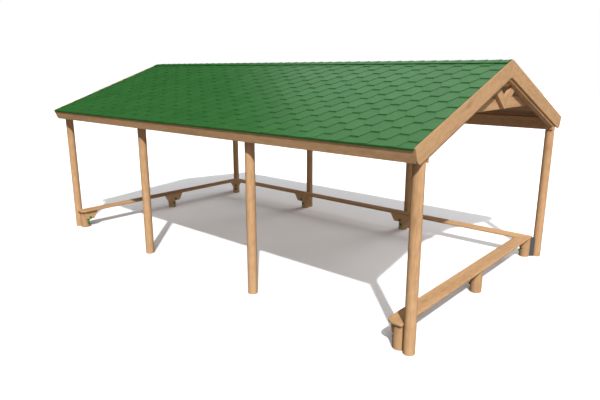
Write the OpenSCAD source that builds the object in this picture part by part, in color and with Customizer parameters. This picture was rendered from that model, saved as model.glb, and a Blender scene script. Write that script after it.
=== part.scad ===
// Open garden shelter: eight round posts, a gabled shingle roof and a bench round three sides.
// Millimetres. X runs along the ridge, the open front faces -Y, the ground is z = 0.

/* [Posts] */
// Diameter of the round main posts
post_d = 125; // [100:1:160]
// Spacing of the two outer bays, from post axis to post axis
outer_bay = 2290; // [1800:10:2800]
// Spacing of the middle bay, from post axis to post axis
middle_bay = 2340; // [1800:10:2800]
// Distance between the axes of the front and back rows of posts
row_gap = 3900; // [3200:10:4600]

/* [Wall plates] */
// Height of the underside of the wall plates above the ground
plate_bottom = 1962; // [1800:1:2300]
// Height of a wall plate's section
plate_h = 170; // [140:1:200]
// Thickness of a wall plate
plate_t = 45; // [35:1:60]
// How far a wall plate is let into the posts
plate_housing = 27; // [15:1:35]

/* [Roof trusses] */
// Slope of the roof in degrees
slope = 20; // [15:0.5:28]
// Thickness of the rafters
rafter_t = 73; // [50:1:90]
// Depth of the rafters, square to the slope
rafter_d = 195; // [160:1:220]
// Depth of the rafter tails outside the wall plates, square to the slope
tail_d = 63; // [40:1:80]
// Thickness of the collar ties
collar_t = 45; // [30:1:60]
// Height of a collar tie's section
collar_h = 135; // [100:1:160]
// Distance of a collar tie's underside below the ridge
collar_drop = 567; // [520:1:640]
// Half of a collar tie's length
collar_reach = 1060; // [1000:1:1080]
// Distance of a gusset's underside below the ridge
gusset_drop = 302; // [280:1:320]
// Thickness of the gussets that fill the angle between the rafters at the apex
gusset_t = 28; // [20:1:50]
// Thickness of the struts that stand in a V on a collar tie
strut_t = 38; // [20:1:50]
// Width of the struts
strut_w = 106; // [90:1:120]
// Angle of the struts above the level, in degrees
strut_angle = 35; // [30:1:45]
// Height above a collar tie's underside at which the struts' centre lines meet
strut_foot = 70; // [60:1:80]

/* [Roof covering] */
// Thickness of the roof boards
deck_t = 16; // [12:1:28]
// Thickness of the shingle covering
shingle_t = 9; // [6:0.5:14]
// Distance of the shingles' lower edge outside the post axes
eave_overhang = 229; // [200:1:320]
// Thickness of the shingles' lip, turned down over the edge of the roof boards
lip_t = 4; // [2:0.5:6]
// Distance that the shingles drip past the face of a fascia, along the slope
drip = 8; // [6:1:30]
// Width of the ridge capping on each slope
cap_w = 116; // [80:1:150]
// Thickness of the ridge capping
cap_t = 8; // [5:0.5:12]

/* [Bargeboards and fascias] */
// Thickness of the bargeboards and fascias
trim_t = 22; // [16:1:36]
// Distance of the bargeboards' outer faces outside the axes of the end posts
gable_overhang = 79; // [72:1:160]
// Depth of the bargeboards, square to the slope
barge_d = 187; // [150:1:220]
// Radius of the rounded lower corner at the foot of a bargeboard
barge_r = 60; // [15:1:70]
// Depth of the fascias, square to the slope
fascia_d = 134; // [100:1:150]

/* [Bench] */
// Height of the seat above the ground
seat_top = 320; // [280:1:460]
// Thickness of the seat boards
seat_t = 32; // [25:1:45]
// Width of the seat boards
seat_w = 197; // [186:1:230]
// Distance of the side seats' front ends outside the axes of the front posts
seat_reach = 62; // [40:1:120]
// Radius of the inner corner at the front end of a side seat
seat_r = 90; // [50:1:110]
// Radius of the outer corner at the front end of a side seat
seat_outer_r = 25; // [10:1:45]
// Diameter of the round bench posts
bench_post_d = 146; // [120:1:148]
// Distance of the bench posts' axes inside the inner faces of the main posts
bench_inset = 74.5; // [73.5:0.5:97.5]
// How far the front bench posts stand behind the axes of the front posts
bench_setback = 38; // [0:1:80]
// Thickness of the grey packing between a corner bench post and its main post
packing_t = 60; // [30:1:90]

/* [Seat brackets] */
// Thickness of the seat brackets
bracket_t = 30; // [20:1:40]
// Height of the seat brackets
bracket_h = 140; // [100:1:170]
// Length of a bracket's upper edge along a bench
bracket_l = 430; // [320:1:520]
// How far a front bracket's upper edge runs in front of its bench post's axis
bracket_nose = 36; // [0:1:60]
// Length of a corner bracket's upper edge
corner_bracket_l = 280; // [240:1:300]
// Slant of a bracket's ends from upright, in degrees
bracket_slant = 29; // [10:1:30]
// How far a bracket is let into its bench post
bracket_housing = 12; // [6:1:20]

/* [Hidden] */
$fn = 64;
wood = [0.85, 0.68, 0.49];
shaded_wood = [0.62, 0.47, 0.33];
green = [0.32, 0.53, 0.34];
grey = [0.36, 0.37, 0.38];

end_x = middle_bay / 2 + outer_bay;
frame_x = [-end_x, -middle_bay / 2, middle_bay / 2, end_x];
row_y = row_gap / 2;

// Wall plates, measured out from the ridge on the back slope
plate_outer = row_y - post_d / 2 + plate_housing;
plate_inner = plate_outer - plate_t;
plate_top = plate_bottom + plate_h;

// Roof planes: each is z = (its height at the ridge) - y * tan(slope)
rise = tan(slope);
tail_z = plate_top + plate_outer * rise;
rafter_z = tail_z + tail_d / cos(slope);
deck_z = rafter_z + deck_t / cos(slope);
ridge_z = deck_z + shingle_t / cos(slope);
rafter_under_z = rafter_z - rafter_d / cos(slope);

// The eaves are cut square to the slope, at these distances down it from the ridge
eave_y = row_y + eave_overhang;
eave_cut = eave_y / cos(slope);
deck_cut = eave_cut - lip_t;
fascia_cut = eave_cut - drip;
tail_cut = fascia_cut - trim_t;
roof_end = end_x + gable_overhang - trim_t;

// The end trusses stand against the bargeboards
truss_end = roof_end - rafter_t / 2;
truss_x = [-truss_end, -middle_bay / 2, middle_bay / 2, truss_end];

collar_z = ridge_z - collar_drop;
gusset_z = ridge_z - gusset_drop;
strut_z = collar_z + strut_foot;

seat_outer_x = end_x - post_d / 2;
seat_outer_y = row_y - post_d / 2;
seat_under = seat_top - seat_t;
bench_x = seat_outer_x - bench_inset;
bench_y = seat_outer_y - bench_inset;
bench_front_y = -row_y + bench_setback;
bracket_face = bench_post_d / 2 - bracket_housing;
far = 5000;

// Extrudes a (y, z) profile along X
module along_x(from, length) {
    translate([from, 0, 0]) rotate([90, 0, 90]) linear_extrude(length) children();
}

// Places what is made for the back slope on the front slope too
module on_front() {
    mirror([0, 1, 0]) children();
}

// The half-plane under a roof plane that stands at height z over the ridge
module under_slope(z) {
    polygon([[-far, z + far * rise], [far, z - far * rise], [far, -far], [-far, -far]]);
}

// The half-plane on the ridge side of a square cut, at a distance down the slope
module above_cut(distance) {
    translate([0, ridge_z]) rotate(-slope) translate([-far, -far]) square([far + distance, 2 * far]);
}

// A round main post of the back row, topped to the rafter tail and housed for the wall plate and, at the
// ends, for a bargeboard
module post(x) {
    color(wood) difference() {
        intersection() {
            translate([x, row_y, 0]) cylinder(d = post_d, h = far);
            along_x(x - post_d, 2 * post_d) under_slope(tail_z);
        }
        translate([x - post_d, plate_inner, plate_bottom]) cube([2 * post_d, plate_t, far]);
        bargeboard(-roof_end - trim_t);
        bargeboard(roof_end);
    }
}

// The wall plate over the back row
module wall_plate() {
    color(wood) translate([-roof_end, plate_inner, plate_bottom]) cube([2 * roof_end, plate_t, plate_h]);
}

// Outline of a rafter: plumb at the ridge, notched over the wall plate, with a shallow tail cut square
module rafter_profile() {
    intersection() {
        polygon([
            [0, rafter_z],
            [far, rafter_z - far * rise],
            [far, tail_z - far * rise],
            [plate_outer, plate_top],
            [plate_inner, plate_top],
            [plate_inner, rafter_under_z - plate_inner * rise],
            [0, rafter_under_z]]);
        above_cut(tail_cut);
    }
}

module rafters() {
    color(wood) for (x = truss_x) along_x(x - rafter_t / 2, rafter_t) rafter_profile();
}

// The ties lie on the side of each truss that faces the middle of the shelter
module collar_ties() {
    color(wood) for (x = truss_x) along_x(x > 0 ? x - rafter_t / 2 - collar_t : x + rafter_t / 2, collar_t)
        translate([-collar_reach, collar_z]) square([2 * collar_reach, collar_h]);
}

// Extrudes a (y, z) profile between a truss's rafters, out from the side that faces the middle of the shelter
module between_rafters(t) {
    for (x = truss_x) along_x(x > 0 ? x - rafter_t / 2 : x + rafter_t / 2 - t, t) children();
}

module apex_gussets() {
    color(shaded_wood) between_rafters(gusset_t) intersection() {
        translate([-far, gusset_z]) square([2 * far, gusset_drop]);
        under_slope(rafter_under_z);
        mirror([1, 0]) under_slope(rafter_under_z);
    }
}

// Outline of one strut: it stands on the collar tie's face and ends under the rafter, below the gusset
module strut_profile() {
    intersection() {
        translate([0, strut_z]) rotate(strut_angle)
            translate([-far / 2, -strut_w / 2]) square([far, strut_w]);
        translate([0, collar_z]) square([far, gusset_z - collar_z]);
        under_slope(rafter_under_z);
    }
}

module struts() {
    color(wood) between_rafters(strut_t) strut_profile();
}

// A sloping slab between two roof planes, plumb at the ridge and cut square at a distance down the slope
module slope_slab(z_top, z_under, cut) {
    along_x(-roof_end, 2 * roof_end) intersection() {
        difference() {
            under_slope(z_top);
            under_slope(z_under);
        }
        above_cut(cut);
        square([far, far]);
    }
}

module roof_boards() {
    color(wood) slope_slab(deck_z, rafter_z, deck_cut);
}

// The covering, with its lower edge turned down over the boards
module shingles() {
    color(green) difference() {
        slope_slab(ridge_z, rafter_z, eave_cut);
        slope_slab(deck_z, rafter_z, deck_cut);
    }
}

// The capping bent over the ridge
module ridge_capping() {
    cap_y = cap_w * cos(slope);
    cap_z = ridge_z + cap_t / cos(slope);
    color(green) along_x(-roof_end, 2 * roof_end) polygon([
        [0, cap_z],
        [cap_y + cap_t * sin(slope), cap_z - (cap_y + cap_t * sin(slope)) * rise],
        [cap_y, ridge_z - cap_y * rise],
        [0, ridge_z],
        [-cap_y, ridge_z - cap_y * rise],
        [-cap_y - cap_t * sin(slope), cap_z - (cap_y + cap_t * sin(slope)) * rise]]);
}

// Outline of a bargeboard: mitred at the ridge, square at its foot, in line with the fascia, with the lower
// corner rounded
module bargeboard_profile() {
    intersection() {
        translate([0, ridge_z]) rotate(-slope) union() {
            translate([-barge_d, -barge_d]) square([fascia_cut - barge_r + barge_d, barge_d]);
            translate([-barge_d, barge_r - barge_d]) square([fascia_cut + barge_d, barge_d - barge_r]);
            translate([fascia_cut - barge_r, barge_r - barge_d]) circle(barge_r);
        }
        square([far, far]);
    }
}

module bargeboard(from) {
    color(wood) along_x(from, trim_t) bargeboard_profile();
}

// The board that closes the rafter tails, square to the slope and up to the roof boards
module fascia() {
    color(wood) along_x(-roof_end, 2 * roof_end) translate([0, ridge_z]) rotate(-slope)
        translate([tail_cut, -shingle_t - deck_t - fascia_d]) square([trim_t, fascia_d]);
}

// The seat on the right: mitred at the back corner, rounded at the corners of its front end
module side_seat() {
    inner = seat_outer_x - seat_w;
    end_y = -row_y - seat_reach;
    color(wood) translate([0, 0, seat_under]) linear_extrude(seat_t) union() {
        polygon([
            [inner, end_y + seat_r],
            [seat_outer_x, end_y + seat_r],
            [seat_outer_x, seat_outer_y],
            [inner, seat_outer_y - seat_w]]);
        translate([inner + seat_r, end_y]) square([seat_w - seat_r - seat_outer_r, seat_r]);
        translate([inner + seat_r, end_y + seat_outer_r]) square([seat_w - seat_r, seat_r - seat_outer_r]);
        translate([inner + seat_r, end_y + seat_r]) circle(seat_r);
        translate([seat_outer_x - seat_outer_r, end_y + seat_outer_r]) circle(seat_outer_r);
    }
}

// The seat along the back, mitred at both ends
module back_seat() {
    color(wood) translate([0, 0, seat_under]) linear_extrude(seat_t) polygon([
        [-seat_outer_x, seat_outer_y],
        [seat_outer_x, seat_outer_y],
        [seat_outer_x - seat_w, seat_outer_y - seat_w],
        [seat_w - seat_outer_x, seat_outer_y - seat_w]]);
}

// A bracket on the bench post at (x, y), on the side that the angle points to. Its upper edge runs
// from start to end, counted from the post's axis; an end away from the axis is slanted.
module bracket(x, y, angle, start, end) {
    taper = bracket_h * tan(bracket_slant);
    color(shaded_wood) translate([x, y, seat_under]) rotate(angle) along_x(bracket_face, bracket_t) polygon([
        [start, 0],
        [end, 0],
        [end - sign(end) * taper, -bracket_h],
        [start - sign(start) * taper, -bracket_h]]);
}

// A bench post, flattened where its bracket stands
module bench_post(x, y, angle) {
    color(wood) difference() {
        translate([x, y, 0]) cylinder(d = bench_post_d, h = seat_under);
        translate([x, y, seat_under - bracket_h]) rotate(angle)
            translate([bracket_face, -bench_post_d, 0]) cube([bench_post_d, 2 * bench_post_d, bracket_h]);
    }
}

// The upright packing in the gap between the right corner bench post and the main post behind it
module corner_packing() {
    color(grey) difference() {
        translate([bench_x, bench_y, 0]) rotate(45) translate([0, -packing_t / 2, 0])
            cube([(end_x - bench_x) * sqrt(2), packing_t, seat_under]);
        translate([bench_x, bench_y, -far / 2]) cylinder(d = bench_post_d, h = far);
        translate([end_x, row_y, -far / 2]) cylinder(d = post_d, h = far);
    }
}

// Brackets of the left bench: a short one on the front post and a whole one in the middle
module side_brackets() {
    bracket(-bench_x, bench_front_y, 0, -bracket_nose, bracket_l / 2);
    bracket(-bench_x, 0, 0, -bracket_l / 2, bracket_l / 2);
}

on_front() post(frame_x[0]);  // front_post_1
on_front() post(frame_x[1]);  // front_post_2
on_front() post(frame_x[2]);  // front_post_3
on_front() post(frame_x[3]);  // front_post_4
post(frame_x[0]);  // back_post_1
post(frame_x[1]);  // back_post_2
post(frame_x[2]);  // back_post_3
post(frame_x[3]);  // back_post_4
on_front() wall_plate();  // front_wall_plate
wall_plate();  // back_wall_plate
on_front() rafters();  // front_rafters
rafters();  // back_rafters
collar_ties();
on_front() struts();  // front_struts
struts();  // back_struts
apex_gussets();
on_front() roof_boards();  // front_roof_boards
roof_boards();  // back_roof_boards
on_front() shingles();  // front_shingles
shingles();  // back_shingles
ridge_capping();
on_front() bargeboard(-roof_end - trim_t);  // left_front_bargeboard
bargeboard(-roof_end - trim_t);  // left_back_bargeboard
on_front() bargeboard(roof_end);  // right_front_bargeboard
bargeboard(roof_end);  // right_back_bargeboard
on_front() fascia();  // front_fascia
fascia();  // back_fascia
mirror([1, 0, 0]) side_seat();  // left_seat
back_seat();
side_seat();  // right_seat
bench_post(-bench_x, bench_front_y, 0);  // left_bench_post_front
bench_post(-bench_x, 0, 0);  // left_bench_post_middle
bench_post(-bench_x, bench_y, -45);  // left_bench_post_corner
bench_post(frame_x[1], bench_y, -90);  // back_bench_post_left
bench_post(frame_x[2], bench_y, -90);  // back_bench_post_right
bench_post(bench_x, bench_y, -135);  // right_bench_post_corner
bench_post(bench_x, 0, 180);  // right_bench_post_middle
bench_post(bench_x, bench_front_y, 180);  // right_bench_post_front
side_brackets();  // left_seat_brackets
mirror([1, 0, 0]) side_brackets();  // right_seat_brackets
for (x = [frame_x[1], frame_x[2]]) bracket(x, bench_y, -90, -bracket_l / 2, bracket_l / 2);  // back_seat_brackets
union() {  // corner_seat_brackets
    bracket(-bench_x, bench_y, -45, -corner_bracket_l / 2, corner_bracket_l / 2);
    bracket(bench_x, bench_y, -135, -corner_bracket_l / 2, corner_bracket_l / 2);
}
union() {  // corner_packings
    corner_packing();
    mirror([1, 0, 0]) corner_packing();
}
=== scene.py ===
"""Looks of an open garden shelter: hexagonal shingles, ridge caps, roof boards, round timbers and bolt caps.

Metres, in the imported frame: X runs along the ridge, the open front faces -Y and the ground is z = 0.
Each new piece is a surface of two parameters on a grid, or a profile carried along a path, worked out as
whole arrays. Every finish is procedural and reads Object coordinates or an attribute of its own piece.
"""

import math

import bpy
import numpy as np
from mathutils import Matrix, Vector


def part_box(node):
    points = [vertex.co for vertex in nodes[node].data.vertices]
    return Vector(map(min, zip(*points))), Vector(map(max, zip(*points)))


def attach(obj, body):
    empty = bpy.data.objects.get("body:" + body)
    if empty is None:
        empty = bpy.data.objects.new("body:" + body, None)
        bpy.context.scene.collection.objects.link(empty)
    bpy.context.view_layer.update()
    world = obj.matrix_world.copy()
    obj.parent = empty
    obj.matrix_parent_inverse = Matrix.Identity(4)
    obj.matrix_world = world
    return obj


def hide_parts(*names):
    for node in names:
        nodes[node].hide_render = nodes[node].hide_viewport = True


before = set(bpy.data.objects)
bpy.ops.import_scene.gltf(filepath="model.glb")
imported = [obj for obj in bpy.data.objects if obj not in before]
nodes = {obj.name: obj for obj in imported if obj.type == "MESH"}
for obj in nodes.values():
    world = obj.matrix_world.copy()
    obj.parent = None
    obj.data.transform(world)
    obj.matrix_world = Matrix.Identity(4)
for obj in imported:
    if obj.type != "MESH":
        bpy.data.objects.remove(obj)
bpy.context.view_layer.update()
rng = np.random.default_rng(7)

# Roof, taken from the frame
SIDES = {"front": -1, "back": 1}
SLOPE = math.radians(20)
shingle_low, shingle_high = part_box("front_shingles")
RIDGE_Z = shingle_high.z
ROOF_END = shingle_high.x
EAVE_TRIM = 0.0025
EAVE = -shingle_low.y / math.cos(SLOPE) - EAVE_TRIM
deck_low, deck_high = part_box("front_roof_boards")
DECK_DEPTH = (RIDGE_Z - deck_high.z) * math.cos(SLOPE)
DECK_T = 0.016
DECK_END = (-deck_low.y - DECK_DEPTH * math.sin(SLOPE)) / math.cos(SLOPE)
TRUSS_X = 1.17

# Hexagonal shingles
TAB_PITCH = 0.329
TAB_FIRST = 3.445
COURSE = 0.1327
LAYER = 0.003
LAP = 0.008
TAB_CELLS = 6
NOTCH_MIDDLE = 1.5
TAB_ROWS = 3
BODY_ROWS = 3
TAB_LIFT = 0.0009
TOP_TRIM = 0.03

# The attribute tab where there are no tabs: on the centre line, half a course up, of a middling tone
PLAIN_TAB = (0.0, 0.5, 0.5)

# Strip over the edge of the boards at the eave
DRIP_R = 0.003
DRIP_STEPS = 5
DRIP_COLUMNS = 40

# Ridge caps
CAP_REACH = 0.12
CAP_EXPOSURE = 0.164
CAP_LAP = 0.05
CAP_RISE = 0.008
CAP_SHEET = 0.003
CAP_BEND = 0.06
CAP_SKEW = 0.003
CAP_FLAT_POINTS = 4
CAP_BEND_POINTS = 9
CAP_ROWS = 4

# Roof boards
BOARD_COUNT = 20
BOARD_CHAMFER = 0.004
BOARD_GAP = 0.0008

# Round timbers
POST_SIDES = 96
POST_ROW = 0.03
POST_ROWS_LEAST = 4
HEAD_ROWS_LEAST = 3
POSTS_IN_ROW = 4
FOOT_EASE = 0.004
LEDGE = 0.0005
LOBES = 0.0004
LOBE_TWIST = 1.7
OVAL = 0.0003
CHECK_COUNT = 3
CHECK_SPAN = (0.1, 0.25)
CHECK_DEPTH = (0.002, 0.003)
PITH_WANDER = 0.012
FACING_LEAST = 1e-3
NO_PLANE = 9.0

# Bench posts: the direction in which each faces, in degrees
BENCH_POSTS = {
    "left_bench_post_front": 0,
    "left_bench_post_middle": 0,
    "left_bench_post_corner": -45,
    "back_bench_post_left": -90,
    "back_bench_post_right": -90,
    "right_bench_post_corner": -135,
    "right_bench_post_middle": 180,
    "right_bench_post_front": 180,
}

# Seat brackets
BRACKET_FACE = 0.061
BRACKET_T = 0.03
BRACKET_SLANT = math.radians(29)
NOSE_LEAN = 0.018
MADE_HERE = {"left_seat_brackets": "left", "right_seat_brackets": "right"}

# Domed bolt caps: the profile as reach from the base and share of the radius, and each pair's sideways places
DOME_R = 0.024
DOME_SIDES = 24
DOME_REACH = (0, 0.0, 0.003, 0.005, 0.0055, 0.011, 0.017, 0.022, 0.0255, 0.0275, 0.028)
DOME_SHARE = (0.0, 1.0, 1.0, 0.96, 0.87, 0.85, 0.78, 0.65, 0.46, 0.22, 0.0)
UPPER_DOME_Z = 0.181
UPPER_DOME_BASE = BRACKET_FACE + BRACKET_T
LOWER_DOME_Z = 0.092
LOWER_DOME_BASE = 0.069
DOMES_ASIDE = {
    "left_bench_post_front": (0.06, 0.02),
    "right_bench_post_front": (-0.06, -0.02),
    "left_bench_post_middle": (0.035, 0),
    "right_bench_post_middle": (-0.035, 0),
    "back_bench_post_left": (-0.03, 0),
    "back_bench_post_right": (-0.015, 0),
}

# Sawn timber of the frame, the trim and the bench: the direction of the grain in each node
SLOPE_FRONT = (0, math.cos(SLOPE), math.sin(SLOPE))
SLOPE_BACK = (0, -math.cos(SLOPE), math.sin(SLOPE))
STRUT = math.radians(35)
ALONG = {
    "front_wall_plate": (1, 0, 0),
    "back_wall_plate": (1, 0, 0),
    "front_rafters": SLOPE_FRONT,
    "back_rafters": SLOPE_BACK,
    "collar_ties": (0, 1, 0),
    "apex_gussets": (0, 1, 0),
    "front_struts": (0, -math.cos(STRUT), math.sin(STRUT)),
    "back_struts": (0, math.cos(STRUT), math.sin(STRUT)),
    "left_front_bargeboard": SLOPE_FRONT,
    "right_front_bargeboard": SLOPE_FRONT,
    "left_back_bargeboard": SLOPE_BACK,
    "right_back_bargeboard": SLOPE_BACK,
    "front_fascia": (1, 0, 0),
    "back_fascia": (1, 0, 0),
    "left_seat": (0, 1, 0),
    "right_seat": (0, 1, 0),
    "back_seat": (1, 0, 0),
    "left_seat_brackets": (0, 1, 0),
    "right_seat_brackets": (0, 1, 0),
    "back_seat_brackets": (1, 0, 0),
    "corner_seat_brackets": (1, -1, 0),
}

# Tone of a node's timber against the trim's, where it isn't 1
TONE = {
    "left_seat": 0.94,
    "right_seat": 0.94,
    "back_seat": 1.06,
    "front_fascia": 0.96,
    "back_fascia": 0.96,
    "left_seat_brackets": 1.1,
    "right_seat_brackets": 1.1,
    "back_seat_brackets": 1.1,
    "corner_seat_brackets": 1.1,
}

# Edges and joining of points
SHARP = math.radians(35)
TINY = 1e-5
EDGE_EASE = 0.004
SEAT_EASE = 0.009
EASE_SEGMENTS = 3
EASE_ANGLE = math.radians(30)
FLAT_ANGLE = math.radians(1)

# What a shader group for a whole surface puts out, by name and kind
SURFACE = {"Color": "Color", "Height": "Float", "Roughness": "Float"}

# Colours, linear
PALE_BOARD, DARK_BOARD = (0.52, 0.325, 0.18), (0.33, 0.19, 0.098)
PALE_ROUND, DARK_ROUND = (0.745, 0.45, 0.23), (0.495, 0.272, 0.127)
PALE_BENCH, DARK_BENCH = (0.66, 0.395, 0.2), (0.43, 0.235, 0.11)
PALE_TRIM, DARK_TRIM = (0.72, 0.43, 0.218), (0.47, 0.26, 0.12)
PALE_GREEN, DARK_GREEN = (0.0447, 0.179, 0.0427), (0.0236, 0.1125, 0.0236)
# The painted shade under the edges of the shingle tabs
PAINTED_SHADE_GREEN = (0.014, 0.042, 0.014)
GREEN_SHEEN = (0.41, 1.0, 0.51)
PALE_DOME, DARK_DOME = (0.035, 0.34, 0.03), (0.02, 0.27, 0.02)
PALE_PACKING, DARK_PACKING = (0.13, 0.132, 0.135), (0.085, 0.087, 0.09)

# Timber finish: each noise has its stretch along and across the fibres, its detail and its roughness. Weights
# make up the shade, the height and the roughness of the surface
WANDER = ((0.8, 4.5, 4.5), 2.0, 0.5)
WANDER_REACH = (0, 0.07, 0.07)
KNOT_CELLS = (1.3, 5.5, 5.5)
KNOT_CHOICE = (0.62, 0.66)
KNOT_RIM = (0.2, 0.02)
KNOT_SWELL = 0.012
PITH_ACROSS, PITH_DEPTH = 0.19, 0.23
LATE_POWER = 2.2
LATE_END = (1.0, 0.88)
FIBRES = ((5.0, 330.0, 330.0), 3.0, 0.6)
PATCHES = ((0.9, 8.0, 8.0), 3.0, 0.55)
BLOTCHES = ((9.0, 32.0, 32.0), 2.0, 0.5)
LATE_SHADE, FIBRE_SHADE, SHADE_START = 0.42, 0.5, -0.12
PATCH_SHADE, BLOTCH_SHADE, KNOT_SHADE = 1.4, 1.3, 0.8
FIBRE_HEIGHT, LATE_HEIGHT = 0.6, 0.4
FIBRE_ROUGHNESS, WOOD_ROUGHNESS = 0.22, 0.5
SAWN_RING, ROUND_RING = 0.005, 0.006
BOARD_KNOTS, ROUND_KNOTS, SAWN_KNOTS = 1.0, 0.6, 0.5
WOOD_BUMP = (0.35, 0.0012)
BOARD_SHIFT = 3
POST_SHIFT = 5
SAWN_SHIFT = 3

# Painted shade along the upper edge of the bargeboards: where it starts and is full, below the edge
TOP_SHADE_START, TOP_SHADE_FULL = 0.007, 0.002
TOP_SHADE_WEIGHT = 0.45
TOP_SHADE_TONE = 0.75

# Granule finish: each noise has its scale, its detail and its roughness
SPECKS = 520.0
MOTTLE = (24.0, 3.0, 0.6)
FELT_PATCHES = (2.6, 3.0, 0.6)
GRIT_SHADE, MOTTLE_SHADE, FELT_PATCH_SHADE = 0.34, 0.3, 0.35
TONE_SHADE, SHADE_LESS = 0.3, 0.15
SPECK_HEIGHT, MOTTLE_HEIGHT = -0.7, 0.5
GRIT_ROUGHNESS, FELT_ROUGHNESS = 0.12, 0.36
FELT_BUMP = (0.5, 0.001)

# Painted shade under the edges of the tabs: widths in courses and in pitches, from none to full
FLAT_EDGE = (0.26, 0.04)
SLANT_EDGE = (0.075, 0.0)
SIDE_CHANGE = (0.02, -0.02)
SIDE_MORE, SIDE_LEAST = 0.5, 0.1
BAND_START = (0.98, 1.02)
PAINTED_SHADE_WEIGHT, EDGE_ROUGHNESS = 0.3, 0.6

# Plastic finish
SCUFFS = (90.0, 4.0, 0.65)
SCUFF_ROUGHNESS, PLASTIC_ROUGHNESS = 0.35, 0.2
PLASTIC_BUMP = (0.1, 0.0004)

# Stage: a pale floor under a sun. Only the floor gets the soft glows from behind and from the front right
FLOOR_HALF = 60
FLOOR_COLOUR = (0.95, 0.943, 0.938)
FLOOR_LIGHT, FLOOR_LIGHT_STRENGTH = (1, 0.985, 0.972), 0.02
SUN_TRAVEL, SUN_WIDTH = (-0.494, 0.499, -0.712), 1.2
SUN_ENERGY, GLINT_ENERGY = 3.5, 1.1
BACK_GLOW_TRAVEL, BACK_GLOW_WIDTH, BACK_GLOW_ENERGY = (-0.123, -0.874, -0.469), 26, 1.3
FRONT_GLOW_TRAVEL, FRONT_GLOW_WIDTH, FRONT_GLOW_ENERGY = (-0.55, 0.62, -0.55), 45, 0.78

# A tall pale screen behind the shelter, seen only as the sheen that it gives to the roof covering
SCREEN_SIZE = (40, 30)
SCREEN_PLACE = (0, 16, 14)
SCREEN_TURN = (math.radians(-90), 0, 0)
SCREEN_ENERGY = 4150
SCREEN_COLOUR = (0.87, 1.0, 0.89)

# The high sky is brighter behind on the right, the low sky and the floor's light in front on the right
HIGH_LEAN, LOW_LEAN, LEAN_CHANGE = (0.74, 0.42, 0.0), (0.7, -0.3, 0.0), (0.1, 0.5)
DEEP_LIGHT, LEVEL_LIGHT, DEEP_CHANGE = (0.376, 0.361, 0.346), (0.1, 0.098, 0.095), (-0.1, -0.9)
HIGH_LIGHT, HIGH_CHANGE = (0.46, 0.466, 0.478), (0.0, 0.6)

# Camera at the photograph's view
CAMERA_PLACE = (5.8124, -6.3144, 2.8038)
CAMERA_TILT = math.radians(90 - 13.870)
CAMERA_TURN = math.radians(41.262)
CAMERA_LENS, CAMERA_SENSOR = 31.535, 36


def along_slope(side, x, down, out):
    """Roof coordinates to the frame: x along the ridge, down the slope, and out of the shingles' plane.

    The back slope is the front one given half a turn about Z, so faces keep pointing outwards.
    """
    turn = -side
    y = -(down * math.cos(SLOPE) + out * math.sin(SLOPE))
    z = RIDGE_Z - down * math.sin(SLOPE) + out * math.cos(SLOPE)
    return np.stack([turn * x, turn * y, z], axis=-1)


def grid_faces(rows, columns, closed=False):
    """Quads on a grid of rows x columns points; closed joins the last column to the first."""
    number = np.arange(rows * columns).reshape(rows, columns)
    if closed:
        number = np.concatenate([number, number[:, :1]], axis=1)
    corners = number[:-1, :-1], number[:-1, 1:], number[1:, 1:], number[1:, :-1]
    return np.stack(corners, axis=-1).reshape(-1, 4)


def repeated(one, count, step):
    """The faces of one copy, for a number of copies whose points follow each other by a step."""
    starts = np.arange(count) * step
    return (one[None] + starts[:, None, None]).reshape(-1, one.shape[1])


def join(parts):
    """One set of points, faces and attributes out of several that have the same attributes."""
    starts = np.cumsum([0] + [len(points) for points, _, _ in parts[:-1]])
    points = np.concatenate([points for points, _, _ in parts])
    faces = np.concatenate([faces + start for (_, faces, _), start in zip(parts, starts)])
    names = parts[0][2]
    attributes = {name: np.concatenate([part[2][name] for part in parts]) for name in names}
    return points, faces, attributes


def drop_unused(points, faces, attributes):
    """The same faces on only the points that they use."""
    used, number = np.unique(faces, return_inverse=True)
    kept = {name: values[used] for name, values in attributes.items()}
    return points[used], number.reshape(faces.shape), kept


def sharpen_open_edges(mesh):
    """Marks edges with only one face as sharp, so that a sheet keeps a crisp rim once it has a thickness."""
    edge_of_corner = np.empty(len(mesh.loops), dtype=np.int32)
    mesh.loops.foreach_get("edge_index", edge_of_corner)
    sharp = np.empty(len(mesh.edges), dtype=bool)
    mesh.edges.foreach_get("use_edge_sharp", sharp)
    open_edge = np.bincount(edge_of_corner, minlength=len(mesh.edges)) == 1
    mesh.edges.foreach_set("use_edge_sharp", sharp | open_edge)


def add_piece(name, points, faces, attributes, material, smooth=True):
    """Puts arrays into a mesh object on the root body. Attributes are vectors on the points. A point number
    below zero is a blank at the end of a face."""
    mesh = bpy.data.meshes.new(name)
    corners = [[number for number in face if number >= 0] for face in faces.tolist()]
    mesh.from_pydata(points.tolist(), [], corners)
    for key, values in attributes.items():
        attribute = mesh.attributes.new(key, "FLOAT_VECTOR", "POINT")
        attribute.data.foreach_set("vector", values.astype(np.float32).ravel())
    mesh.polygons.foreach_set("use_smooth", np.full(len(mesh.polygons), smooth))
    if smooth:
        mesh.set_sharp_from_angle(angle=SHARP)
        sharpen_open_edges(mesh)
    mesh.materials.append(material)
    piece = bpy.data.objects.new(name, mesh)
    bpy.context.scene.collection.objects.link(piece)
    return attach(piece, "root")


def weld(piece):
    """Joins points that lie on each other, such as those at a pole."""
    joined = piece.modifiers.new("weld", "WELD")
    joined.merge_threshold = TINY


def solid_sheet(piece, thickness):
    """Gives a sheet its thickness, inwards from the modelled surface."""
    sheet = piece.modifiers.new("thickness", "SOLIDIFY")
    sheet.thickness = thickness
    sheet.offset = -1


def ease_edges(piece, width):
    """Merges the triangles of flat faces, and rounds the edges between them as on planed timber."""
    weld(piece)
    flat = piece.modifiers.new("flat", "DECIMATE")
    flat.decimate_type = "DISSOLVE"
    flat.angle_limit = FLAT_ANGLE
    ease = piece.modifiers.new("ease", "BEVEL")
    ease.width = width
    ease.segments = EASE_SEGMENTS
    ease.limit_method = "ANGLE"
    ease.angle_limit = EASE_ANGLE
    weld(piece)


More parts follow.
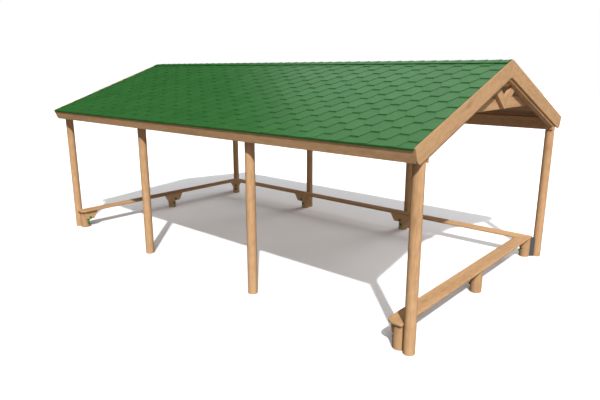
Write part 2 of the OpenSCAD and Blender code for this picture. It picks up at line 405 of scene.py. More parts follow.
def rgba(colour):
    """A colour with a full alpha."""
    return (*colour, 1)


class Graph:
    """Adds nodes to a shader tree. An input given a socket is linked to it; any other value is set on it."""

    def __init__(self, tree):
        self.tree = tree

    def link(self, output, target):
        self.tree.links.new(output, target)

    def add(self, kind, inputs=None, **settings):
        node = self.tree.nodes.new(kind)
        for key, value in settings.items():
            setattr(node, key, value)
        for key, value in (inputs or {}).items():
            if isinstance(value, bpy.types.NodeSocket):
                self.link(value, node.inputs[key])
            else:
                node.inputs[key].default_value = value
        return node

    def math(self, operation, *values, clamp=False):
        inputs = dict(enumerate(values))
        return self.add("ShaderNodeMath", inputs, operation=operation, use_clamp=clamp).outputs[0]

    def weighted(self, value, weight, base, clamp=False):
        """The value times its weight, added to a base."""
        return self.math("MULTIPLY_ADD", value, weight, base, clamp=clamp)

    def vector(self, operation, *values):
        inputs = dict(enumerate(values))
        return self.add("ShaderNodeVectorMath", inputs, operation=operation).outputs[0]

    def dot(self, first, second):
        inputs = {0: first, 1: second}
        return self.add("ShaderNodeVectorMath", inputs, operation="DOT_PRODUCT").outputs["Value"]

    def noise(self, vector, scale, detail, roughness):
        inputs = {"Vector": vector, "Scale": scale, "Detail": detail, "Roughness": roughness}
        return self.add("ShaderNodeTexNoise", inputs).outputs

    def stretched(self, vector, stretch, detail, roughness):
        """Noise drawn out by its own factor in each direction."""
        return self.noise(self.vector("MULTIPLY", vector, stretch), 1.0, detail, roughness)

    def step(self, value, low, high):
        """0 at low and 1 at high, smooth between; low may be the higher of the two."""
        inputs = {"Value": value, "From Min": low, "From Max": high}
        return self.add("ShaderNodeMapRange", inputs, interpolation_type="SMOOTHSTEP").outputs[0]

    def mix(self, factor, first, second):
        return self.add("ShaderNodeMix", {0: factor, 6: first, 7: second}, data_type="RGBA").outputs[2]

    def mix_vectors(self, factor, first, second):
        return self.add("ShaderNodeMix", {0: factor, 4: first, 5: second}, data_type="VECTOR").outputs[1]

    def parts(self, vector):
        return self.add("ShaderNodeSeparateXYZ", {0: vector}).outputs

    def place(self):
        return self.add("ShaderNodeTexCoord").outputs["Object"]

    def attribute(self, name):
        return self.add("ShaderNodeAttribute", attribute_name=name).outputs["Vector"]


def new_group(name, inputs, outputs):
    """A shader group with inputs and outputs given by name and kind."""
    tree = bpy.data.node_groups.new(name, "ShaderNodeTree")
    for label, kind in inputs.items():
        tree.interface.new_socket(label, in_out="INPUT", socket_type="NodeSocket" + kind)
    for label, kind in outputs.items():
        tree.interface.new_socket(label, in_out="OUTPUT", socket_type="NodeSocket" + kind)
    graph = Graph(tree)
    return graph, graph.add("NodeGroupInput").outputs, graph.add("NodeGroupOutput").inputs


def knot_mask(g, grain, amount):
    """1 in the middle of a knot and 0 round it: cells are drawn out along the fibres, and some are chosen."""
    cells = {"Vector": g.vector("MULTIPLY", grain, KNOT_CELLS), "Scale": 1.0}
    cell = g.add("ShaderNodeTexVoronoi", cells).outputs
    chosen = g.step(g.parts(cell["Color"])[0], *KNOT_CHOICE)
    near = g.math("MULTIPLY", g.step(cell["Distance"], *KNOT_RIM), chosen)
    return g.math("MULTIPLY", near, amount)


def late_wood(g, grain, near_knot, pitch):
    """Growth rings: the distance from a wandering pith, over the pitch, gives the share of a ring, and its
    power is pale at first and then dark. Places are folded so that every board has a pith near."""
    wander = g.stretched(grain, *WANDER)["Color"]
    bent = g.vector("ADD", grain, g.vector("MULTIPLY", wander, WANDER_REACH))
    _, across, depth = g.parts(bent)
    across = g.math("PINGPONG", across, PITH_ACROSS)
    depth = g.math("PINGPONG", depth, PITH_DEPTH)
    squares = g.math("ADD", g.math("MULTIPLY", across, across), g.math("MULTIPLY", depth, depth))
    radius = g.weighted(near_knot, KNOT_SWELL, g.math("SQRT", squares))
    ring = g.math("FRACT", g.math("DIVIDE", radius, pitch))
    return g.math("MULTIPLY", g.math("POWER", ring, LATE_POWER), g.step(ring, *LATE_END))


def make_timber_group():
    """Solid timber: growth rings, fibres along the grain, patches and blotches of tone, and small knots.

    Grain is a point in metres, with X along the fibres.
    """
    inputs = {"Grain": "Vector", "Pale": "Color", "Dark": "Color", "Ring Pitch": "Float", "Knots": "Float"}
    g, given, made = new_group("Timber", inputs, SURFACE)
    grain = given["Grain"]
    near_knot = knot_mask(g, grain, given["Knots"])
    late = late_wood(g, grain, near_knot, given["Ring Pitch"])
    fibre = g.stretched(grain, *FIBRES)["Fac"]
    patch = g.stretched(grain, *PATCHES)["Fac"]
    blotch = g.stretched(grain, *BLOTCHES)["Fac"]
    shade = g.weighted(late, LATE_SHADE, g.weighted(fibre, FIBRE_SHADE, SHADE_START))
    shade = g.weighted(g.math("SUBTRACT", patch, 0.5), PATCH_SHADE, shade)
    shade = g.weighted(g.math("SUBTRACT", blotch, 0.5), BLOTCH_SHADE, shade)
    shade = g.weighted(near_knot, KNOT_SHADE, shade, clamp=True)
    height = g.weighted(fibre, FIBRE_HEIGHT, g.math("MULTIPLY", late, LATE_HEIGHT))
    g.link(g.mix(shade, given["Pale"], given["Dark"]), made["Color"])
    g.link(height, made["Height"])
    g.link(g.weighted(fibre, FIBRE_ROUGHNESS, WOOD_ROUGHNESS), made["Roughness"])
    return g.tree


def make_granule_group():
    """Mineral granules on felt: speckle from fine cells, patches of tone, and a rough surface. Shade mixes in
    a painted shade.
    """
    inputs = {"Place": "Vector", "Pale": "Color", "Dark": "Color", "Tone": "Float", "Shade": "Float"}
    g, given, made = new_group("Granules", inputs, SURFACE)
    speck = g.add("ShaderNodeTexVoronoi", {"Vector": given["Place"], "Scale": SPECKS}).outputs
    grit = g.parts(speck["Color"])[0]
    patch = g.noise(given["Place"], *FELT_PATCHES)["Fac"]
    mottle = g.noise(given["Place"], *MOTTLE)["Fac"]
    shade = g.weighted(grit, GRIT_SHADE, g.math("MULTIPLY", mottle, MOTTLE_SHADE))
    shade = g.weighted(patch, FELT_PATCH_SHADE, shade)
    shade = g.weighted(given["Tone"], TONE_SHADE, g.math("SUBTRACT", shade, SHADE_LESS), clamp=True)
    green = g.mix(shade, given["Pale"], given["Dark"])
    height = g.weighted(speck["Distance"], SPECK_HEIGHT, g.math("MULTIPLY", mottle, MOTTLE_HEIGHT))
    # Shade mixes the green towards the painted shade's darker green
    g.link(g.mix(given["Shade"], green, rgba(PAINTED_SHADE_GREEN)), made["Color"])
    g.link(height, made["Height"])
    g.link(g.weighted(grit, GRIT_ROUGHNESS, FELT_ROUGHNESS), made["Roughness"])
    return g.tree


def make_top_shade_group():
    """Paints a shade along the upper edge of a board on the slope, darker. Top is that edge's distance from
    the ground line below the ridge, measured square to the slope."""
    inputs = {"Place": "Vector", "Color": "Color", "Shade Colour": "Color", "Top": "Float"}
    g, given, made = new_group("Painted Top Shade", inputs, {"Color": "Color"})
    level = g.dot(g.vector("ABSOLUTE", given["Place"]), (0, math.sin(SLOPE), math.cos(SLOPE)))
    below = g.math("SUBTRACT", given["Top"], level)
    painted_top_shade = g.math("MULTIPLY", g.step(below, TOP_SHADE_START, TOP_SHADE_FULL), TOP_SHADE_WEIGHT)
    g.link(g.mix(painted_top_shade, given["Color"], given["Shade Colour"]), made["Color"])
    return g.tree


def make_scuff_group():
    """Scuffed, dusty plastic: one noise mixes the two colours, and is the height and the dullness."""
    g, given, made = new_group("Scuffs", {"Place": "Vector", "Pale": "Color", "Dark": "Color"}, SURFACE)
    scuff = g.noise(given["Place"], *SCUFFS)["Fac"]
    g.link(g.mix(scuff, given["Dark"], given["Pale"]), made["Color"])
    g.link(scuff, made["Height"])
    g.link(g.weighted(scuff, SCUFF_ROUGHNESS, PLASTIC_ROUGHNESS), made["Roughness"])
    return g.tree


def new_material(name):
    """A material with its own Principled shader: the material, a graph to add to it, and the shader."""
    material = bpy.data.materials.new(name)
    material.use_nodes = True
    return material, Graph(material.node_tree), material.node_tree.nodes["Principled BSDF"]


def bump(g, shader, height, strength, distance):
    """Raises the shader's surface by a height, where 1 stands for the distance."""
    node = g.add("ShaderNodeBump", {"Height": height, "Strength": strength, "Distance": distance})
    g.link(node.outputs[0], shader.inputs["Normal"])


def object_grain(g, along, shift, fold):
    """Object coordinates turned so that X follows a direction. With fold, both sides of x = 0 are alike."""
    place = g.vector("ABSOLUTE", g.place()) if fold else g.place()
    turn = Vector(along).normalized().rotation_difference(Vector((1, 0, 0))).to_euler()
    return g.add("ShaderNodeMapping", {"Vector": place, "Rotation": turn, "Location": shift}).outputs[0]


def timber(name, pale, dark, ring, knots, along=None, shift=(0, 0, 0), fold=False, shaded_top=None):
    """A timber finish. With a direction along, the grain follows it; without one the piece's own attribute
    grain is read. Given the top of a board on the slope, its upper edge gets a painted shade, darker."""
    material, g, shader = new_material(name)
    grain = object_grain(g, along, shift, fold) if along else g.attribute("grain")
    inputs = {"Grain": grain, "Pale": rgba(pale), "Dark": rgba(dark), "Ring Pitch": ring, "Knots": knots}
    body = g.add("ShaderNodeGroup", inputs, node_tree=timber_group)
    colour = body.outputs["Color"]
    # A painted shade along the upper edge of a board on the slope
    if shaded_top:
        painted_top_shade = rgba(TOP_SHADE_TONE * value for value in dark)
        inputs = {"Place": g.place(), "Color": colour, "Shade Colour": painted_top_shade, "Top": shaded_top}
        colour = g.add("ShaderNodeGroup", inputs, node_tree=top_shade_group).outputs["Color"]
    g.link(colour, shader.inputs["Base Color"])
    g.link(body.outputs["Roughness"], shader.inputs["Roughness"])
    bump(g, shader, body.outputs["Height"], *WOOD_BUMP)
    return material


def painted_edge_shade(g, off, up):
    """Painted shade on a tab's band under the edges of the tabs above it, where their shadow would fall.

    Off is in pitches from the tab's centre line, and up in courses from its edge. The flat edge above lies
    two courses up. The slanting ones close in by a sixth of a pitch over a course, and the painted shade lies
    more on one side.
    """
    under_flat = g.step(g.math("SUBTRACT", 2.0, up), *FLAT_EDGE)
    notch = g.weighted(up, -1 / 6, 0.5)
    under_slant = g.step(g.math("SUBTRACT", notch, g.math("ABSOLUTE", off)), *SLANT_EDGE)
    shadow_side_weight = g.weighted(g.step(off, *SIDE_CHANGE), SIDE_MORE, SIDE_LEAST)
    under = g.math("MAXIMUM", under_flat, g.math("MULTIPLY", under_slant, shadow_side_weight))
    return g.math("MULTIPLY", under, g.step(up, *BAND_START))


def shingle_finish(name):
    """Green granules with a painted shade, darker and matt, under each edge. The attribute tab holds the
    distance from the tab's centre line in pitches, the distance up from its edge in courses, and a tone of
    its own."""
    material, g, shader = new_material(name)
    off, up, tone = g.parts(g.attribute("tab"))
    # Painted shade under the edges of the tabs above
    shade = painted_edge_shade(g, off, up)
    inputs = {"Place": g.place(), "Pale": rgba(PALE_GREEN), "Dark": rgba(DARK_GREEN), "Tone": tone,
              "Shade": g.math("MULTIPLY", shade, PAINTED_SHADE_WEIGHT)}
    body = g.add("ShaderNodeGroup", inputs, node_tree=granule_group)
    shader.inputs["Specular Tint"].default_value = rgba(GREEN_SHEEN)
    roughness = g.weighted(shade, EDGE_ROUGHNESS, body.outputs["Roughness"], clamp=True)
    g.link(body.outputs["Color"], shader.inputs["Base Color"])
    g.link(roughness, shader.inputs["Roughness"])
    bump(g, shader, body.outputs["Height"], *FELT_BUMP)
    return material


def plastic_finish(name, pale, dark):
    """Moulded plastic of two close tones."""
    material, g, shader = new_material(name)
    inputs = {"Place": g.place(), "Pale": rgba(pale), "Dark": rgba(dark)}
    body = g.add("ShaderNodeGroup", inputs, node_tree=scuff_group)
    g.link(body.outputs["Color"], shader.inputs["Base Color"])
    g.link(body.outputs["Roughness"], shader.inputs["Roughness"])
    bump(g, shader, body.outputs["Height"], *PLASTIC_BUMP)
    return material


def course_faces(count, rows, columns):
    """Faces of the courses: all have their bands, and all but the first have tabs with notches between."""
    one = grid_faces(rows, columns)
    row, column = np.divmod(np.arange(len(one)), columns - 1)
    band = row >= TAB_ROWS
    tabbed = one[band | (column % (TAB_CELLS + 2) < TAB_CELLS)]
    others = repeated(tabbed, count - 1, rows * columns) + rows * columns
    return np.concatenate([one[band], others])


def shingle_courses(side):
    """Courses of hexagonal tabs on one slope, as (points, faces, attributes) of their upper surface.

    A tab's half width grows in a straight line from a sixth of the pitch at its lower edge to a third of it
    one course up, where the tabs run into a whole band. Each course falls by one layer over one course, so
    that its edge lies on the two below it. Tabs of alternate courses are half a pitch apart. The first course
    has only its band: it is the starter, seen between the tabs at the eave.
    """
    count = int(EAVE / COURSE) + 2
    tabs = int(2 * ROOF_END / TAB_PITCH) + 3
    course = np.arange(-1, count - 1)[:, None, None, None]
    up_tab = np.linspace(0, 1, TAB_ROWS + 1)
    up_band = np.linspace(1, 2 + LAP / COURSE, BODY_ROWS + 1)[1:]
    up = np.concatenate([up_tab, up_band])[None, :, None, None]
    number = (1 - np.arange(tabs))[::-1][None, None, :, None]
    centre = TAB_FIRST + number * TAB_PITCH + (course % 2 - 1) * TAB_PITCH / 2
    across = np.append(np.linspace(-1, 1, TAB_CELLS + 1), NOTCH_MIDDLE)[None, None, None, :]
    widening = 1 + np.minimum(up, 1)
    x = centre + across * np.where(across > 1, TAB_PITCH / 3, TAB_PITCH / 6 * widening)
    off = across / 6 * np.where(across > 1, 2, widening)
    down = EAVE - COURSE * (course + up)
    each_tab = (count, 1, tabs, 1)
    raised = TAB_LIFT * rng.random(each_tab)
    twisted = TAB_LIFT * (rng.random(each_tab) - 0.5) * across
    out = -LAYER * np.minimum(up, 2) + (raised + twisted) * np.clip(1 - up, 0, 1)
    tone = rng.random(each_tab)

    x, off, down, out, up, tone = np.broadcast_arrays(x, off, down, out, up, tone)
    x = np.clip(x, -ROOF_END, ROOF_END)
    down = np.maximum(down, TOP_TRIM)
    points = along_slope(side, x, down, out).reshape(-1, 3)
    tab = np.stack([off, up, tone], axis=-1).reshape(-1, 3)
    faces = course_faces(count, x.shape[1], tabs * across.size)
    wide = np.ptp(x.reshape(-1)[faces], axis=1) > TINY
    tall = np.ptp(down.reshape(-1)[faces], axis=1) > TINY
    return drop_unused(points, faces[wide & tall], {"tab": tab})


def drip_strip(side):
    """The strip under the starter: its profile runs down the slope, bends in a quarter circle over the edge
    of the boards and drops, and is carried along the eave."""
    bend = np.linspace(0, math.pi / 2, DRIP_STEPS)
    bend_down = EAVE - DRIP_R + DRIP_R * np.sin(bend)
    bend_out = -2 * LAYER - DRIP_R + DRIP_R * np.cos(bend)
    down = np.concatenate([[EAVE - COURSE], bend_down, [EAVE]])
    out = np.concatenate([[-3 * LAYER], bend_out, [-DECK_DEPTH - DECK_T]])
    x = np.linspace(-ROOF_END, ROOF_END, DRIP_COLUMNS)[:, None]
    x, down, out = np.broadcast_arrays(x, down, out)
    points = along_slope(side, x, down, out).reshape(-1, 3)
    tab = np.tile(PLAIN_TAB, (len(points), 1))
    return points, grid_faces(*x.shape)[:, ::-1], {"tab": tab}


def ridge_caps():
    """Caps bent over the ridge: across, the profile follows both slopes and a round bend between them; along,
    each cap rises in a straight line to lie on the one after it, most at the ridge."""
    count = int(2 * ROOF_END / CAP_EXPOSURE)
    exposure = 2 * ROOF_END / count
    left = -np.linspace(CAP_REACH, CAP_BEND, CAP_FLAT_POINTS)
    bend = np.linspace(-CAP_BEND, CAP_BEND, CAP_BEND_POINTS)[1:-1]
    right = np.linspace(CAP_BEND, CAP_REACH, CAP_FLAT_POINTS)
    reach = np.concatenate([left, bend, right])[None, None, :]
    fall = np.where(np.abs(reach) > CAP_BEND, np.abs(reach), (reach ** 2 / CAP_BEND + CAP_BEND) / 2)
    length = np.linspace(0, 1, CAP_ROWS)[None, :, None]
    start = -ROOF_END + exposure * np.arange(count)[:, None, None]
    x = np.minimum(start + length * (exposure + CAP_LAP), ROOF_END)
    skew = CAP_SKEW * (rng.random((count, 1, 1)) - 0.5)
    share = np.abs(reach) / CAP_REACH
    rise = CAP_SHEET + length * (CAP_RISE + (CAP_SHEET - CAP_RISE) * share)
    y = reach * math.cos(SLOPE) + skew
    z = RIDGE_Z + (rise / math.cos(SLOPE) - fall * math.sin(SLOPE))
    tone = rng.random((count, 1, 1))

    x, y, z, tone = np.broadcast_arrays(x, y, z, tone)
    points = np.stack([x, y, z], axis=-1).reshape(-1, 3)
    faces = repeated(grid_faces(CAP_ROWS, reach.size), count, CAP_ROWS * reach.size)
    tab = np.tile(PLAIN_TAB, (len(points), 1))
    tab[:, 2] = tone.reshape(-1)
    return points, faces, {"tab": tab}


def roof_boards(side):
    """Matched boards along the ridge: a board's profile, chamfered on its lower edges, is carried along X.
    Rows break joint over the inner trusses in turn."""
    width = DECK_END / BOARD_COUNT
    edge = width - BOARD_GAP
    bevel = BOARD_CHAMFER
    across = np.array([0, edge, edge, edge - bevel, bevel, 0])
    depth = np.array([0, 0, DECK_T - bevel, DECK_T, DECK_T, DECK_T - bevel])
    row = np.repeat(np.arange(BOARD_COUNT), 2)
    first = np.tile([True, False], BOARD_COUNT)
    break_x = np.where(row % 2 == 0, -TRUSS_X, TRUSS_X)
    start = np.where(first, -ROOF_END, break_x + BOARD_GAP)
    end = np.where(first, break_x, ROOF_END)
    x = np.stack([start, end], axis=1)[:, :, None]
    down = row[:, None, None] * width + across
    shift = BOARD_SHIFT * rng.random((len(row), 1, 1))
    x, down, across, depth, shift = np.broadcast_arrays(x, down, across, depth, shift)
    points = along_slope(side, x, down, -DECK_DEPTH - depth).reshape(-1, 3)
    grain = np.stack([x + shift, across + shift, depth], axis=-1).reshape(-1, 3)

    corners = np.arange(x.shape[2])
    tube = grid_faces(2, corners.size, closed=True)
    tube = np.pad(tube, ((0, 0), (0, corners.size - 4)), constant_values=-1)
    ends = np.stack([corners, corners.size * 2 - 1 - corners])
    one = np.concatenate([tube, ends])
    blank = np.tile(one < 0, (len(row), 1))
    faces = np.where(blank, -1, repeated(one, len(row), 2 * corners.size))
    return points, faces, {"grain": grain}


def log_radius(turn, height, radius, top):
    """A log's radius over turns and heights: a little out of round, less the V of a few drying checks, each
    tapering in a straight line from its middle to nothing at both ends."""
    phase = rng.random(3) * 2 * math.pi
    lobes = LOBES * np.cos(3 * turn + phase[0] + LOBE_TWIST * height)
    oval = OVAL * (1 + np.cos(2 * turn + phase[1]))
    checks = np.zeros((height.size, POST_SIDES))
    for place, middle, reach, deep in rng.random((CHECK_COUNT, 4)):
        column = int(place * POST_SIDES)
        span = (CHECK_SPAN[0] + CHECK_SPAN[1] * reach) * top
        taper = np.clip(1 - np.abs(height[:, 0] - middle * top) / span, 0, 1)
        checks[:, column] += (CHECK_DEPTH[0] + CHECK_DEPTH[1] * deep) * taper
    return radius + lobes - oval - checks


def post_faces(rows):
    """Sides of a post with a number of rows of points, and fans to the two middle points after them."""
    ring = np.arange(POST_SIDES)
    following = np.roll(ring, -1)
    last = (rows - 1) * POST_SIDES
    foot_middle = np.full_like(ring, rows * POST_SIDES)
    blank = np.full_like(ring, -1)
    foot = np.stack([following, ring, foot_middle, blank], axis=1)
    head = np.stack([last + ring, last + following, foot_middle + 1, blank], axis=1)
    return np.concatenate([grid_faces(rows, POST_SIDES, closed=True), foot, head])


def round_post(centre, radius, flat_from, flat_at, flat_angle, top, top_fall=0.0):
    """A round timber standing on the ground, as a grid of turns and heights.

    Its radius is the log's own. Above flat_from one side is cut to a plane at the distance flat_at from the
    axis. Heights end at top, which slopes by top_fall per metre of Y from the axis.
    """
    turn = np.arange(POST_SIDES) * (2 * math.pi / POST_SIDES)
    below = np.linspace(FOOT_EASE, flat_from, max(int(flat_from / POST_ROW), POST_ROWS_LEAST) + 1)
    head_rows = max(int((top - flat_from) / POST_ROW), HEAD_ROWS_LEAST)
    above = np.linspace(flat_from + LEDGE, top, head_rows + 1)
    height = np.concatenate([[0.0], below, above])[:, None]
    log = log_radius(turn, height, radius, top) - FOOT_EASE * (height == 0)
    facing = np.cos(turn - flat_angle)
    plane = np.where(facing > FACING_LEAST, flat_at / np.maximum(facing, FACING_LEAST), NO_PLANE)
    log = np.where(height > flat_from, np.minimum(log, plane), log)
    x = centre[0] + log * np.cos(turn)
    y = centre[1] + log * np.sin(turn)
    share = np.clip((height - flat_from) / (top - flat_from), 0, 1)
    z = height + share * top_fall * (y - centre[1])
    middles = np.array([[*centre, 0.0], [*centre, top]])
    points = np.concatenate([np.stack([x, y, z], axis=-1).reshape(-1, 3), middles])
    pith = PITH_WANDER * (rng.random(2) - 0.5)
    along = points[:, 2] + POST_SHIFT * rng.random()
    across = points[:, :2] - centre + pith
    grain = np.column_stack([along, across])
    return points, post_faces(height.size), {"grain": grain}


def bolt_cap(centre, direction, base, height):
    """A domed cap turned about a level axis: a profile of radius against reach, carried round it."""
    reach = base + np.array(DOME_REACH)
    radius = np.array(DOME_SHARE) * DOME_R
    turn = np.arange(DOME_SIDES) * (2 * math.pi / DOME_SIDES)
    ahead = np.array([math.cos(direction), math.sin(direction), 0])
    aside = np.array([-math.sin(direction), math.cos(direction), 0])
    up = np.array([0, 0, 1.0])
    ring = np.cos(turn)[None, :, None] * aside + np.sin(turn)[None, :, None] * up
    points = np.array([*centre, height]) + reach[:, None, None] * ahead + radius[:, None, None] * ring
    return points.reshape(-1, 3), grid_faces(reach.size, DOME_SIDES, closed=True), {}


def cap_pair(name, degrees):
    """The upper cap on a bench post's bracket and the lower one on the post."""
    direction = math.radians(degrees)
    aside = np.array([-math.sin(direction), math.cos(direction)])
    upper, lower = DOMES_ASIDE.get(name, (0, 0))
    centre = np.array(bench_centres[name])
    return [bolt_cap(centre + aside * upper, direction, UPPER_DOME_BASE, UPPER_DOME_Z),
            bolt_cap(centre + aside * lower, direction, LOWER_DOME_BASE, LOWER_DOME_Z)]


def side_brackets(side):
    """Brackets of one side bench: a profile of length against height, carried across the thickness.

    An end slants in towards the bottom, but the front bracket's end at the open front leans only a little.
    """
    low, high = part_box(f"{side}_seat_brackets")
    front = bench_centres[f"{side}_bench_post_front"][1]
    middle = bench_centres[f"{side}_bench_post_middle"][1]
    half = high.y - middle
    taper = (high.z - low.z) * math.tan(BRACKET_SLANT)
    y = np.array([[low.y + NOSE_LEAN, front + half - taper, front + half, low.y],
                  [middle - half + taper, middle + half - taper, middle + half, middle - half]])
    z = np.array([low.z, low.z, high.z, high.z])
    x = np.array([low.x, high.x])[None, :, None]
    grid = np.broadcast_arrays(x, y[:, None, :], z[None, None, :])
    points = np.stack(grid, axis=-1).reshape(-1, 3)
    one = np.concatenate([grid_faces(2, 4, closed=True), [[3, 2, 1, 0], [4, 5, 6, 7]]])
    return points, repeated(one, len(y), x.size * z.size), {}


def main_post(row, number):
    """One post of a row: round, cut above the wall plate's foot to the plate's outer face, and at its top to
    the roof's slope."""
    name = f"{row}_post_{number}"
    sign = SIDES[row]
    low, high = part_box(name)
    radius = (high.x - low.x) / 2
    away = (high.y if sign > 0 else -low.y) - radius
    centre = ((low.x + high.x) / 2, sign * away)
    inside = away - plate_high.y
    top = plate_high.z - inside * math.tan(SLOPE)
    inwards = -sign * math.pi / 2
    shape = round_post(centre, radius, plate_low.z, inside, inwards, top, -sign * math.tan(SLOPE))
    post = add_piece(f"{name}_timber", *shape, round_timber)
    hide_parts(name)


def bench_post(name, degrees):
    """A round bench post, cut above the brackets' foot to the face that they lie on. Gives its centre."""
    low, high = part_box(name)
    radius = (high.x - low.x) / 2
    centre = ((low.x + high.x) / 2, (low.y + high.y) / 2)
    shape = round_post(centre, radius, bracket_low.z, BRACKET_FACE, math.radians(degrees), high.z)
    post = add_piece(f"{name}_timber", *shape, bench_timber)
    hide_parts(name)
    return centre


def dress_sawn(name, along):
    """Gives a node of sawn timber its finish and eased edges. Side brackets are made anew in its place."""
    shift = tuple(SAWN_SHIFT * rng.random(3))
    tone = TONE.get(name, 1)
    pale = tuple(tone * value for value in PALE_TRIM)
    dark = tuple(tone * value for value in DARK_TRIM)
    fold = name == "corner_seat_brackets"
    # Bargeboards get a painted shade along their upper edge
    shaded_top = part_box(name)[1].z * math.cos(SLOPE) if name.endswith("bargeboard") else None
    finish = timber(f"{name}_timber", pale, dark, SAWN_RING, SAWN_KNOTS, along, shift, fold, shaded_top)
    if name in MADE_HERE:
        piece = add_piece(f"{name}_timber", *side_brackets(MADE_HERE[name]), finish, False)
        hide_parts(name)
    else:
        piece = nodes[name]
        piece.data.materials[0] = finish
    ease_edges(piece, SEAT_EASE if name.endswith("_seat") else EDGE_EASE)


def add_floor():
    """A wide pale floor that takes shadows and gives no light back to the part."""
    h = FLOOR_HALF
    mesh = bpy.data.meshes.new("floor")
    mesh.from_pydata([(-h, -h, 0), (h, -h, 0), (h, h, 0), (-h, h, 0)], [], [(0, 1, 2, 3)])
    floor = bpy.data.objects.new("floor", mesh)
    bpy.context.scene.collection.objects.link(floor)
    paint, _, shader = new_material("floor_paint")
    shader.inputs["Base Color"].default_value = rgba(FLOOR_COLOUR)
    shader.inputs["Emission Color"].default_value = rgba(FLOOR_LIGHT)
    shader.inputs["Emission Strength"].default_value = FLOOR_LIGHT_STRENGTH
    shader.inputs["Roughness"].default_value = 1.0
    shader.inputs["Specular IOR Level"].default_value = 0.0
    mesh.materials.append(paint)
    floor.visible_diffuse = False
    floor.visible_glossy = False
    return floor


def add_sun(name, energy, travel, width):
    """A distant light whose rays travel one way, and which looks the given number of degrees wide."""
    light = bpy.data.lights.new(name, "SUN")
    light.energy = energy
    light.angle = math.radians(width)
    sun = bpy.data.objects.new(name, light)
    sun.rotation_euler = Vector(travel).to_track_quat("-Z", "Y").to_euler()
    bpy.context.scene.collection.objects.link(sun)
    return sun


def add_screen(receivers):
    """An upright area light, facing the front, that gives only a sheen and only to its receivers."""
    light = bpy.data.lights.new("screen", "AREA")
    light.shape = "RECTANGLE"
    light.size, light.size_y = SCREEN_SIZE
    light.energy = SCREEN_ENERGY
    light.color = SCREEN_COLOUR
    screen = bpy.data.objects.new("screen", light)
    screen.location = SCREEN_PLACE
    screen.rotation_euler = SCREEN_TURN
    screen.visible_diffuse = False
    screen.visible_camera = False
    screen.light_linking.receiver_collection = receivers
    bpy.context.scene.collection.objects.link(screen)


def set_sky():
    """An even sky that leans to one side, over the light of a floor. The camera sees white instead."""
    world = bpy.data.worlds.new("sky")
    bpy.context.scene.world = world
    world.use_nodes = True
    world.cycles_visibility.glossy = False
    g = Graph(world.node_tree)
    view = g.add("ShaderNodeTexCoord").outputs["Generated"]
    lift = g.parts(view)[2]
    below = g.mix(g.step(lift, *DEEP_CHANGE), rgba(LEVEL_LIGHT), rgba(DEEP_LIGHT))
    even = g.mix(g.step(lift, *HIGH_CHANGE), below, rgba(HIGH_LIGHT))
    lean = g.mix_vectors(g.step(lift, *LEAN_CHANGE), LOW_LEAN, HIGH_LEAN)
    brighter = g.math("ADD", g.dot(view, lean), 1.0)
    fill = g.add("ShaderNodeVectorMath", {0: even, "Scale": brighter}, operation="SCALE").outputs[0]
    soft = world.node_tree.nodes["Background"]
    g.link(fill, soft.inputs["Color"])
    white = g.add("ShaderNodeBackground", {"Color": (1, 1, 1, 1), "Strength": 1.0})
    seen = g.add("ShaderNodeLightPath").outputs["Is Camera Ray"]
    both = g.add("ShaderNodeMixShader", {0: seen, 1: soft.outputs[0], 2: white.outputs[0]})
    g.link(both.outputs[0], world.node_tree.nodes["World Output"].inputs["Surface"])


def set_camera():
    """A camera at the photograph's view, with colours shown as they are."""
    lens = bpy.data.cameras.new("camera")
    lens.sensor_width = CAMERA_SENSOR
    lens.lens = CAMERA_LENS
    camera = bpy.data.objects.new("camera", lens)
    camera.location = CAMERA_PLACE
    camera.rotation_euler = (CAMERA_TILT, 0, CAMERA_TURN)
    bpy.context.scene.collection.objects.link(camera)
    bpy.context.scene.camera = camera
    bpy.context.scene.view_settings.view_transform = "Standard"


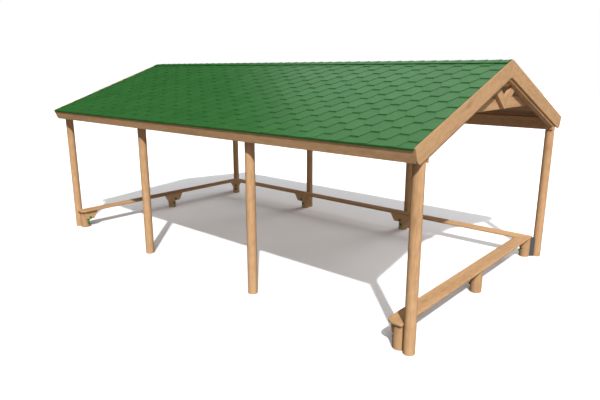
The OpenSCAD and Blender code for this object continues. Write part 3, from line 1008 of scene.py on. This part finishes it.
# Finishes that several pieces share
timber_group = make_timber_group()
top_shade_group = make_top_shade_group()
granule_group = make_granule_group()
scuff_group = make_scuff_group()
shingle_green = shingle_finish("shingle_green")
board_timber = timber("board_timber", PALE_BOARD, DARK_BOARD, SAWN_RING, BOARD_KNOTS)
round_timber = timber("round_timber", PALE_ROUND, DARK_ROUND, ROUND_RING, ROUND_KNOTS)
bench_timber = timber("bench_timber", PALE_BENCH, DARK_BENCH, ROUND_RING, ROUND_KNOTS)
cap_plastic = plastic_finish("cap_plastic", PALE_DOME, DARK_DOME)
packing_plastic = plastic_finish("packing_plastic", PALE_PACKING, DARK_PACKING)

# Roof covering
sheen_receivers = bpy.data.collections.new("sheen_receivers")
for word, side in SIDES.items():
    covering = join([shingle_courses(side), drip_strip(side)])
    cover = add_piece(f"{word}_shingle_courses", *covering, shingle_green, False)
    weld(cover)
    solid_sheet(cover, LAYER)
    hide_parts(f"{word}_shingles")
    sheen_receivers.objects.link(cover)
caps = add_piece("ridge_caps", *ridge_caps(), shingle_green)
solid_sheet(caps, CAP_SHEET)
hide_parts("ridge_capping")
sheen_receivers.objects.link(caps)

# Roof boards
for word, side in SIDES.items():
    deck = add_piece(f"{word}_matched_boards", *roof_boards(side), board_timber, False)
    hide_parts(f"{word}_roof_boards")

# Posts
plate_low, plate_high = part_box("back_wall_plate")
bracket_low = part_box("back_seat_brackets")[0]
for row in SIDES:
    for number in range(1, POSTS_IN_ROW + 1):
        main_post(row, number)
bench_centres = {name: bench_post(name, degrees) for name, degrees in BENCH_POSTS.items()}

# Bolt caps and packings
domes = [dome for name, degrees in BENCH_POSTS.items() for dome in cap_pair(name, degrees)]
weld(add_piece("bolt_caps", *join(domes), cap_plastic))
nodes["corner_packings"].data.materials[0] = packing_plastic

# Sawn timber
for name, along in ALONG.items():
    dress_sawn(name, along)

# Stage
floor = add_floor()
add_sun("sun", SUN_ENERGY, SUN_TRAVEL, SUN_WIDTH).visible_glossy = False
add_sun("sun_glint", GLINT_ENERGY, SUN_TRAVEL, SUN_WIDTH).visible_diffuse = False
floor_only = bpy.data.collections.new("floor_only")
floor_only.objects.link(floor)
back_glow = add_sun("back_glow", BACK_GLOW_ENERGY, BACK_GLOW_TRAVEL, BACK_GLOW_WIDTH)
back_glow.light_linking.receiver_collection = floor_only
front_glow = add_sun("front_glow", FRONT_GLOW_ENERGY, FRONT_GLOW_TRAVEL, FRONT_GLOW_WIDTH)
front_glow.light_linking.receiver_collection = floor_only
add_screen(sheen_receivers)
set_sky()
set_camera()
